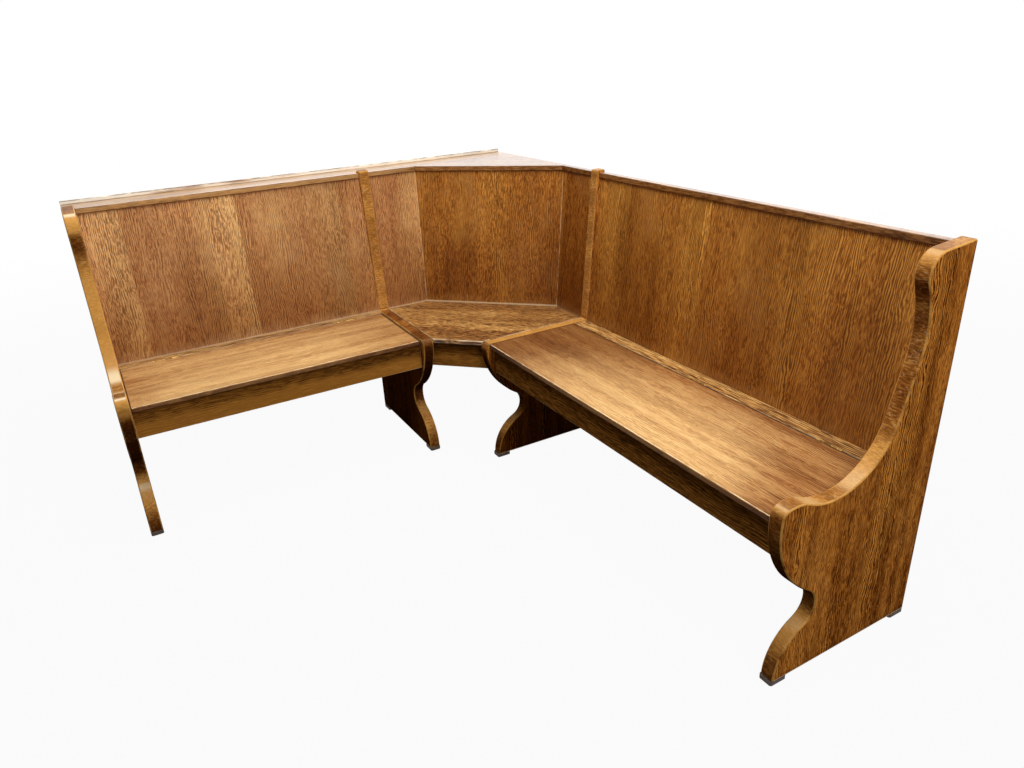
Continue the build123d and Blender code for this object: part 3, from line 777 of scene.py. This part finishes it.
def patchy_finish(name, clean, stained, scale, metallic, roughness, bump):
    """A metal or pad with dull patches."""
    material, tree = empty_material(name)
    place = add(tree, "TexCoord").outputs["Object"]
    dull = patches(tree, place, scale, scale, low=0.4, high=0.65, detail=4.0, roughness=0.65)
    fine = noise(tree, place, scale * FINE_RATIO, scale * FINE_RATIO)
    relief = add(tree, "Bump", {"Strength": bump, "Distance": FINE_RELIEF, "Height": fine})
    surface = add(
        tree, "BsdfPrincipled",
        {
            "Base Color": mixed(tree, dull, colour(clean), colour(stained)),
            "Metallic": metallic,
            "Roughness": plus(tree, times(tree, dull, DULL_ROUGHNESS), roughness),
            "Normal": relief.outputs["Normal"],
        },
    )
    add(tree, "OutputMaterial", {"Surface": surface.outputs["BSDF"]})
    return material


# Pieces

FLAT_ANGLE = math.radians(0.5)
SHARP_ANGLE = math.radians(30.0)
SMOOTH_ANGLE = math.radians(40.0)
MERGE_DISTANCE = 1e-5
NARROW_FACE = 0.003
KNUCKLE_ROOM = (0.0025, 0.0034)


def body_of(node):
    """The body that carries a node."""
    for body, members in frame["record"]["behaviour"]["bodies"].items():
        if node in members:
            return body
    raise RuntimeError(f"no body carries {node}")


def hinge_lines():
    """A point on each lid's hinge line, and the line's direction."""
    lines = []
    for side, line in (("left", RUN_Y), ("right", RUN_X)):
        low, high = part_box(f"{side}_hinge_pins")
        lines.append(((low + high) / 2, line))
    return lines


HINGE_LINES = hinge_lines()


def near_knuckle(vert):
    """True on the rim of the grooves that take the hinge knuckles."""
    for point, line in HINGE_LINES:
        offset = vert.co - point
        distance = (offset - line * offset.dot(line)).length
        if KNUCKLE_ROOM[0] < distance < KNUCKLE_ROOM[1]:
            return True
    return False


def merged_copy(node):
    """A bmesh of a CAD node with its triangles joined into whole faces."""
    work = bmesh.new()
    work.from_mesh(frame["nodes"][node].data)
    bmesh.ops.remove_doubles(work, verts=work.verts[:], dist=MERGE_DISTANCE)
    bmesh.ops.dissolve_limit(
        work, angle_limit=FLAT_ANGLE, use_dissolve_boundaries=False, verts=work.verts[:], edges=work.edges[:]
    )
    return work


def ease_arrises(work, width):
    """Takes a little off every sharp outer edge."""
    sharp = [e for e in work.edges if len(e.link_faces) == 2 and e.is_convex]
    sharp = [e for e in sharp if e.calc_face_angle() > SHARP_ANGLE]
    sharp = [e for e in sharp if not any(near_knuckle(v) for v in e.verts)]
    bmesh.ops.bevel(
        work, geom=sharp, offset=width, offset_type="OFFSET", segments=3, profile=0.5,
        affect="EDGES", clamp_overlap=True, material=-1,
    )


def face_width(face):
    """Width of a face, taken as its area over its longest edge."""
    return face.calc_area() / max(edge.calc_length() for edge in face.edges)


def mark_wear(work):
    """Writes which corners lie on a softened arris, and how far each faces up or down, for the wear."""
    arris = work.verts.layers.float.new(ARRIS)
    upward = work.verts.layers.float.new(UPWARD)
    work.normal_update()
    narrow = {face.index for face in work.faces if face_width(face) < NARROW_FACE}
    for vert in work.verts:
        vert[arris] = float(all(face.index in narrow for face in vert.link_faces))
        vert[upward] = max(face.normal.z for face in vert.link_faces)


def dress(node, finishes, width=None, sort_face=None):
    """Stands a softened copy in for a CAD node, with one finish or with faces sorted between several."""
    work = merged_copy(node)
    ease_arrises(work, width or settings().sizes.arris)
    work.faces.index_update()
    mark_wear(work)
    for face in work.faces:
        face.smooth = True
        face.material_index = sort_face(face) if sort_face else 0
    mesh = bpy.data.meshes.new(f"{node}_oak")
    work.to_mesh(mesh)
    work.free()
    mesh.set_sharp_from_angle(angle=SMOOTH_ANGLE)
    for material in finishes:
        mesh.materials.append(material)
    piece = bpy.data.objects.new(f"{node}_oak", mesh)
    bpy.context.scene.collection.objects.link(piece)
    normals = piece.modifiers.new("even_normals", "WEIGHTED_NORMAL")
    normals.keep_sharp = True
    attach(piece, body_of(node))
    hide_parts(node)
    return piece


def coat_node(node, material):
    """Puts a finish on a CAD node that keeps its own shape."""
    slots = frame["nodes"][node].data.materials
    slots.clear()
    slots.append(material)


def run_of(side):
    """Directions along a run and out from its wall."""
    return (RUN_Y, RUN_X) if side == "left" else (RUN_X, RUN_Y)


# For each end: how far its arrises are rubbed, the slope at which its edge turns golden with painted light,
# how golden it is there, how pale the painted highlight on its crests is, how much painted light and painted
# shade its level parts get, and how dark its nose is shaded
EDGE_LOOKS = {
    "left_outer_end": {
        "rub": 0.7, "rise": -0.35, "painted_light": 0.65, "pale": 0.95,
        "level_light": 0.1, "level_shade": 0.2, "nose_shade": 0.45,
    },
    "left_inner_end": {
        "rub": 0.7, "rise": -0.2, "painted_light": 0.28, "pale": 0.1,
        "level_light": 0.0, "level_shade": 0.8, "nose_shade": 0.85,
    },
    "right_inner_end": {
        "rub": 0.7, "rise": -0.2, "painted_light": 0.38, "pale": 0.2,
        "level_light": 0.6, "level_shade": 0.0, "nose_shade": 0.85,
    },
    "right_outer_end": {
        "rub": 0.8, "rise": 0.3, "painted_light": 0.6, "pale": 0.2,
        "level_light": 0.15, "level_shade": 0.1, "nose_shade": 0.3,
    },
}

# How dark the painted shade on the sides of an end below the seat is, and how squarely a face turns to the
# run to be a side
UNDER_SHADE = {"outer_end": 0.0, "inner_end": 1.0}
SIDE_FACE = 0.95

# For each back panel: its shades, how its leaves of veneer lie and differ, how dark the painted shade at its
# foot and over its whole face is, how dark its broad streaks are, and how pale the joint at its foot is
PANEL_LOOKS = {
    "left_back_panel": {
        "name": "oak_veneer_left", "palette": "left_veneer", "across": RUN_Y, "first_joint": -0.669,
        "shortness": 1.2, "contrast": 0.6, "foot": 0.85, "tone": 0.1, "broad": 0.0, "seam": 0.35,
    },
    "corner_back_left": {
        "name": "oak_veneer_left_return", "palette": "left_veneer", "across": RUN_Y, "first_joint": -0.669,
        "shortness": 1.2, "contrast": 0.6, "foot": 0.9, "tone": 0.45, "broad": 0.3, "seam": 0.35,
    },
    "corner_back_centre": {
        "name": "oak_veneer_centre", "palette": "right_veneer", "across": FRONT_LINE, "first_joint": 0.0,
        "shortness": 1.6, "contrast": 0.35, "foot": 0.75, "tone": 0.55, "broad": 0.4, "seam": 0.5,
    },
    "corner_back_right": {
        "name": "oak_veneer_return", "palette": "right_veneer", "across": RUN_X, "first_joint": -0.096,
        "shortness": 1.0, "contrast": 0.3, "foot": 0.9, "tone": 0.95, "broad": 0.2, "seam": 0.1,
    },
    "right_back_panel": {
        "name": "oak_veneer_right", "palette": "right_veneer", "across": RUN_X, "first_joint": -0.096,
        "shortness": 1.0, "contrast": 0.42, "foot": 0.7, "tone": 0.15, "broad": 0.45, "seam": 0.0,
    },
}

# For each lid: how far its ends and rear are darkened by dirt and painted shade, how far those darkened ends
# slant, and the width of the dirt at its corner end
LID_LOOKS = {
    "left": {"worn": 0.4, "skew": 0.0, "dirt": 0.011},
    "right": {"worn": 0.95, "skew": 0.45, "dirt": 0.003},
}

# For each apron: its direction, how dark the painted shadow on its upper half is and how golden the painted
# light on its lower half is
APRON_LOOKS = {
    "left": {"along": RUN_Y, "stain": 0.2, "painted_light": 0.6},
    "right": {"along": RUN_X, "stain": 0.45, "painted_light": 0.0},
    "corner": {"along": FRONT_LINE, "stain": 0.7, "painted_light": 0.2},
}


class BENCH_OT_ends(bpy.types.Operator):
    """Dress the two outer and two inner ends"""

    bl_idname = "bench.ends"
    bl_label = "Ends"

    def execute(self, context):
        for side in ("left", "right"):
            along, across = run_of(side)
            for kind, under in UNDER_SHADE.items():
                look = EDGE_LOOKS[f"{side}_{kind}"]
                flat = end_side_finish(f"oak_{side}_{kind}", across, under, look["rub"])
                edge = end_edge_finish(f"oak_{side}_{kind}_edge", along, **look)
                dress(
                    f"{side}_{kind}", (flat, edge), settings().sizes.end_arris,
                    lambda face, line=along: 0 if abs(face.normal.dot(line)) > SIDE_FACE else 1,
                )
        return {"FINISHED"}


class BENCH_OT_backs(bpy.types.Operator):
    """Dress the back panels of both runs and the corner"""

    bl_idname = "bench.backs"
    bl_label = "Back Panels"

    def execute(self, context):
        for node, look in PANEL_LOOKS.items():
            dress(node, (veneer_finish(**look),))
        return {"FINISHED"}


class BENCH_OT_caps(bpy.types.Operator):
    """Dress the caps, the corner top, and the ledge with its lip"""

    bl_idname = "bench.caps"
    bl_label = "Caps and Ledge"

    def execute(self, context):
        # Pale painted glare on the left caps, the ledge and its lip, and painted shade on the faces of the
        # other caps that do not turn up
        left = cap_finish("oak_cap_left", RUN_Y, RUN_X, rubbed=0.5)
        right = cap_finish("oak_cap_right", RUN_X, RUN_Y, stain=0.7)
        centre = cap_finish("oak_cap_centre", FRONT_LINE, OUT_OF_CORNER, stain=0.5)
        lip = cap_finish("oak_ledge_lip", RUN_Y, UP, rubbed=1.0, pale=settings().fittings.ledge_lip)
        boards = {
            "left_cap": left, "corner_cap_left": left, "left_ledge": left, "left_ledge_lip": lip,
            "right_cap": right, "corner_cap_right": right, "corner_top": centre,
        }
        for node, material in boards.items():
            dress(node, (material,))
        return {"FINISHED"}


class BENCH_OT_lids(bpy.types.Operator):
    """Dress the two lifting lids"""

    bl_idname = "bench.lids"
    bl_label = "Lids"

    def execute(self, context):
        for side, look in LID_LOOKS.items():
            along, across = run_of(side)
            low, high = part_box(f"{side}_lid")
            inner, outer = (high, low) if side == "left" else (low, high)
            material = lid_finish(
                f"oak_lid_{side}", along, across, corner=inner.dot(along), outer=outer.dot(along),
                rear=outer.dot(across), front=inner.dot(across), **look,
            )
            dress(f"{side}_lid", (material,))
        return {"FINISHED"}


class BENCH_OT_seats(bpy.types.Operator):
    """Dress the fixed strips behind the lids and the corner seat"""

    bl_idname = "bench.seats"
    bl_label = "Seat Strips and Corner Seat"

    def execute(self, context):
        for side in ("left", "right"):
            along, across = run_of(side)
            material = seat_finish(
                f"oak_strip_{side}", along, across, stain=0.1, waviness=0.01, shortness=0.7
            )
            dress(f"{side}_seat_strip", (material,))
        material = seat_finish(
            "oak_corner_seat", FRONT_LINE, OUT_OF_CORNER, stain=0.9, waviness=0.03, shortness=1.6
        )
        dress("corner_seat", (material,), settings().sizes.corner_arris)
        return {"FINISHED"}


class BENCH_OT_aprons(bpy.types.Operator):
    """Dress the three aprons"""

    bl_idname = "bench.aprons"
    bl_label = "Aprons"

    def execute(self, context):
        for place, look in APRON_LOOKS.items():
            material = apron_finish(f"oak_apron_{place}", **look)
            dress(f"{place}_apron", (material,))
        return {"FINISHED"}


class BENCH_OT_timbers(bpy.types.Operator):
    """Dress the rails, box floors, cleats, battens and brackets"""

    bl_idname = "bench.timbers"
    bl_label = "Hidden Timbers"

    def execute(self, context):
        along_x = frame_finish("oak_frame_x", RUN_X, RUN_Y)
        along_y = frame_finish("oak_frame_y", RUN_Y, RUN_X)
        diagonal = frame_finish("oak_frame_diagonal", FRONT_LINE, UP)
        timbers = {
            "left_rear_rail": along_y, "left_box_floor": along_y, "corner_rail_left": along_y,
            "right_rear_rail": along_x, "right_box_floor": along_x, "corner_rail_right": along_x,
            "left_lid_cleats": along_x, "left_lid_battens": along_x, "corner_cleat_left": along_x,
            "right_lid_cleats": along_y, "right_lid_battens": along_y, "corner_cleat_right": along_y,
            "left_ledge_brackets": along_x, "corner_rail_centre": diagonal,
        }
        for node, material in timbers.items():
            dress(node, (material,))
        return {"FINISHED"}


class BENCH_OT_fittings(bpy.types.Operator):
    """Finish the hinges, the joining bolts and the foot pads"""

    bl_idname = "bench.fittings"
    bl_label = "Hinges, Bolts and Feet"

    def execute(self, context):
        shades = settings().fittings
        brass = patchy_finish(
            "aged_brass", shades.brass, shades.tarnish, scale=90.0, metallic=1.0, roughness=0.32, bump=0.15
        )
        steel = patchy_finish(
            "dull_steel", shades.steel, shades.steel_stain,
            scale=70.0, metallic=1.0, roughness=0.38, bump=0.15,
        )
        pad = patchy_finish(
            "foot_pad", shades.pad, shades.pad_dust, scale=60.0, metallic=0.0, roughness=0.6, bump=0.4
        )
        for side in ("left", "right"):
            for kind in ("hinge_strip_leaves", "hinge_lid_leaves", "hinge_pins"):
                coat_node(f"{side}_{kind}", brass)
            coat_node(f"joining_bolts_{side}", steel)
            dress(f"{side}_feet", (pad,))
        return {"FINISHED"}


# Stage

FLOOR_HALF = 14.0
PICTURE_WIDTH = 1024
SENSOR_WIDTH = 36.0
WHITE = (1.0, 1.0, 1.0, 1.0)

# How far the floor is brought up to white near the bench and far from it, and the distances between the two
NEAR_GLOW = 0.95
FAR_GLOW = 1.0
GLOW_REACH = (1.6, 6.0)

FLOOR_MOTTLE = (0.8, 0.8, 0.8, 1.0)
MOTTLE_SCALE = 0.8
MOTTLE_SHARE = 0.04

# For each lamp: its place, the point that it faces and its size
LAMPS = {
    "ceiling": ((0.2, -0.1, 2.9), (-0.1, 0.1, 0.4), (2.2, 2.2)),
    "side": ((2.9, 0.5, 2.6), (0.0, 0.1, 0.5), (1.6, 1.6)),
    "rear": ((-2.3, 1.9, 1.9), (0.2, -0.2, 0.8), (5.0, 2.0)),
}


def seen_rays(tree):
    """1 for rays from the camera and for those that a gloss or a glass sends on."""
    rays = add(tree, "LightPath").outputs
    seen = calc(tree, "MAXIMUM", rays["Is Camera Ray"], rays["Is Glossy Ray"])
    return calc(tree, "MAXIMUM", seen, rays["Is Transmission Ray"])


def floor_finish():
    """Pale floor with faint unevenness, brought up to white for the camera and still shaded."""
    material, tree = empty_material("pale_floor")
    place = add(tree, "TexCoord").outputs["Object"]
    mottle = times(tree, noise(tree, place, MOTTLE_SCALE, MOTTLE_SCALE, detail=3.0), MOTTLE_SHARE)
    tone = mixed(tree, mottle, colour(settings().stage.floor), FLOOR_MOTTLE)
    inputs = {"Base Color": tone, "Roughness": 0.8, "Specular IOR Level": 0.1}
    matt = add(tree, "BsdfPrincipled", inputs)
    glow = add(tree, "Emission", {"Color": WHITE, "Strength": 1.0})
    distance = add(tree, "VectorMath", {0: place}, operation="LENGTH").outputs["Value"]
    far = clamped(tree, distance, *GLOW_REACH)
    whiteness = plus(tree, times(tree, far, FAR_GLOW - NEAR_GLOW), NEAR_GLOW)
    whiteness = times(tree, seen_rays(tree), whiteness)
    both = add(tree, "MixShader", {0: whiteness, 1: matt.outputs["BSDF"], 2: glow.outputs["Emission"]})
    add(tree, "OutputMaterial", {"Surface": both.outputs["Shader"]})
    return material


def make_floor():
    work = bmesh.new()
    bmesh.ops.create_grid(work, x_segments=2, y_segments=2, size=FLOOR_HALF)
    mesh = bpy.data.meshes.new("floor")
    work.to_mesh(mesh)
    work.free()
    mesh.materials.append(floor_finish())
    floor = bpy.data.objects.new("floor", mesh)
    bpy.context.scene.collection.objects.link(floor)


def make_world():
    """Even light, white where the camera or a gloss sees it."""
    world = bpy.data.worlds.new("studio")
    world.use_nodes = True
    tree = world.node_tree
    tree.nodes.clear()
    seen = seen_rays(tree)
    ambient = settings().stage.ambient
    strength = plus(tree, times(tree, seen, 1.0 - ambient), ambient)
    light = add(tree, "Background", {"Color": WHITE, "Strength": strength})
    add(tree, "OutputWorld", {"Surface": light.outputs["Background"]})
    bpy.context.scene.world = world


def make_lamp(name, place, target, size, power):
    data = bpy.data.lights.new(name, "AREA")
    data.shape = "RECTANGLE"
    data.size, data.size_y = size
    data.energy = power
    lamp = bpy.data.objects.new(name, data)
    lamp.location = place
    lamp.rotation_euler = (Vector(target) - Vector(place)).to_track_quat("-Z", "Y").to_euler()
    lamp.visible_camera = False
    bpy.context.scene.collection.objects.link(lamp)


def make_camera():
    """A camera where the picture was taken from."""
    stage = settings().stage
    forward = Vector((-math.sin(stage.yaw), math.cos(stage.yaw), 0.0)) * math.cos(stage.pitch)
    forward -= UP * math.sin(stage.pitch)
    level = Vector((math.cos(stage.yaw), math.sin(stage.yaw), 0.0))
    below = forward.cross(level)
    right = level * math.cos(stage.roll) + below * math.sin(stage.roll)
    down = below * math.cos(stage.roll) - level * math.sin(stage.roll)
    data = bpy.data.cameras.new("camera")
    data.sensor_width = SENSOR_WIDTH
    data.lens = stage.focal_pixels / PICTURE_WIDTH * SENSOR_WIDTH
    camera = bpy.data.objects.new("camera", data)
    turn = Matrix((right, -down, -forward)).transposed().to_4x4()
    camera.matrix_world = Matrix.Translation(Vector(stage.camera)) @ turn
    bpy.context.scene.collection.objects.link(camera)
    bpy.context.scene.camera = camera


class BENCH_OT_stage(bpy.types.Operator):
    """Set up the floor, the light and the camera"""

    bl_idname = "bench.stage"
    bl_label = "Stage"

    def execute(self, context):
        stage = settings().stage
        context.scene.view_settings.view_transform = "Standard"
        make_floor()
        make_world()
        for name, (place, target, size) in LAMPS.items():
            make_lamp(f"{name}_lamp", place, target, size, getattr(stage, name))
        make_camera()
        return {"FINISHED"}


class BENCH_PT_panel(bpy.types.Panel):
    """Sidebar panel that lists the pieces of the bench"""

    bl_idname = "BENCH_PT_panel"
    bl_label = "Oak Corner Bench"
    bl_space_type = "VIEW_3D"
    bl_region_type = "UI"
    bl_category = "Bench"

    def draw(self, context):
        for operator in PIECES + (BENCH_OT_stage,):
            self.layout.operator(operator.bl_idname)
        for name in BenchSettings.__annotations__:
            part = getattr(context.scene.corner_bench, name)
            box = self.layout.box()
            box.label(text=name.replace("_", " ").title())
            for value in part.__annotations__:
                box.prop(part, value)


PIECES = (
    BENCH_OT_ends, BENCH_OT_backs, BENCH_OT_caps, BENCH_OT_lids, BENCH_OT_seats, BENCH_OT_aprons,
    BENCH_OT_timbers, BENCH_OT_fittings,
)
GROUPS = (
    EndSideOak, EndEdgeOak, LeftVeneer, RightVeneer, LidOak, SeatOak, CapOak, ApronOak, FrameOak,
    BenchFittings, BenchSizes, BenchStage, BenchSettings,
)
CLASSES = GROUPS + PIECES + (BENCH_OT_stage, BENCH_PT_panel)


def register():
    for part in CLASSES:
        bpy.utils.register_class(part)
    bpy.types.Scene.corner_bench = PointerProperty(type=BenchSettings)


def unregister():
    del bpy.types.Scene.corner_bench
    for part in reversed(CLASSES):
        bpy.utils.unregister_class(part)


def main():
    register()
    bpy.ops.bench.ends()
    bpy.ops.bench.backs()
    bpy.ops.bench.caps()
    bpy.ops.bench.lids()
    bpy.ops.bench.seats()
    bpy.ops.bench.aprons()
    bpy.ops.bench.timbers()
    bpy.ops.bench.fittings()
    bpy.ops.bench.stage()


if __name__ == "__main__":
    main()
